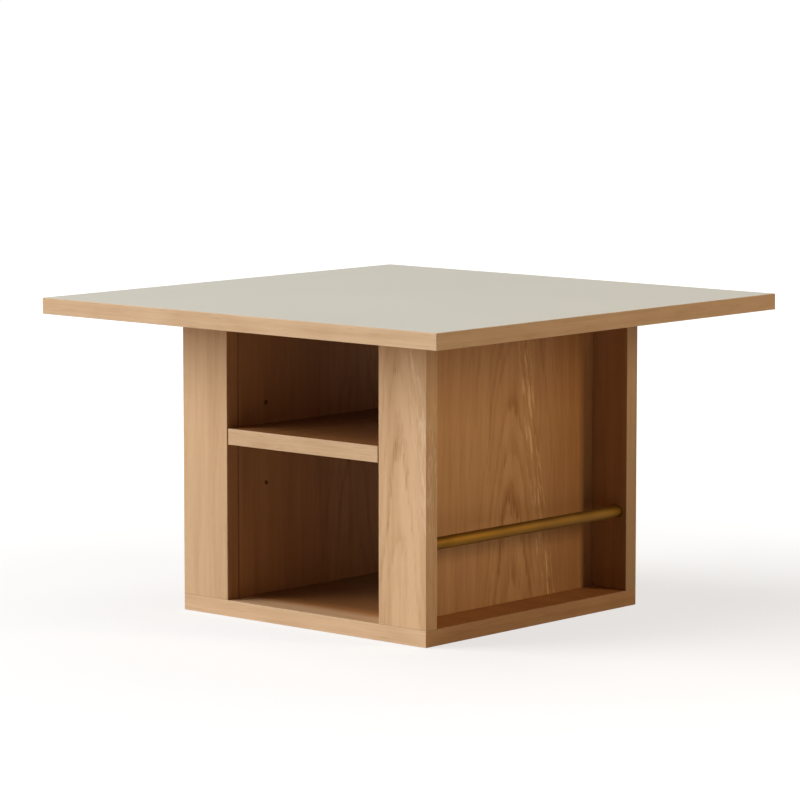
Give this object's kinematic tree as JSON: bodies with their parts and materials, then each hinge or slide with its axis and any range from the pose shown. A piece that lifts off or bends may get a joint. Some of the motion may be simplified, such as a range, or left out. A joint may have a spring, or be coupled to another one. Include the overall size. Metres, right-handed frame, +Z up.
{
  "type": "low table",
  "caption": "Square low table with a plain top on a narrower oak box pedestal: an open compartment with a shelf on pins, and side recesses with a brass rod across each.",
  "frame": {"origin": "on the floor, under the middle of the top", "axes": "+Z up, -Y out of the front of the compartment, +X out of the right-hand recess"},
  "size_m": [0.515, 0.515, 0.313],
  "materials": {
    "greige_laminate": "satin plain laminate",
    "board_core": "raw particle board",
    "oak_underside": "matt oak veneer",
    "oak_band": "matt oak veneer edge band",
    "oak_bottom": "matt oak veneer",
    "oak_stile": "matt oak veneer, grain upright",
    "oak_partition": "matt oak veneer, grain upright",
    "oak_shelf": "matt oak veneer",
    "brass_rod": "brushed, slightly dull",
    "nickel_steel": "nickel plated",
    "zinc_steel": "zinc plated",
    "beech_dowel": "raw beech"
  },
  "bodies": {
    "table": {"top_core": "board_core", "top_face_sheet": "greige_laminate", "top_back_sheet": "oak_underside", "top_band_front": "oak_band", "top_band_back": "oak_band", "top_band_left": "oak_band", "top_band_right": "oak_band", "bottom_board": "oak_bottom", "stile_front_left": "oak_stile", "stile_front_right": "oak_stile", "stile_back_left": "oak_stile", "stile_back_right": "oak_stile", "partition_left": "oak_partition", "partition_right": "oak_partition", "shelf_pins": "nickel_steel", "rod_left": "brass_rod", "rod_right": "brass_rod", "top_dowels": "beech_dowel", "bottom_dowels": "beech_dowel", "stile_dowels": "beech_dowel", "bottom_screws": "zinc_steel", "top_brackets": "zinc_steel", "bracket_screws": "zinc_steel"},
    "shelf": {"shelf_board": "oak_shelf", "shelf_band_front": "oak_band", "shelf_band_back": "oak_band"}
  },
  "joints": [
    {"name": "shelf_slide", "type": "slide", "parent": "table", "child": "shelf", "axis": [0, -1, 0], "range_m": [-0.05, 0.05]}
  ]
}
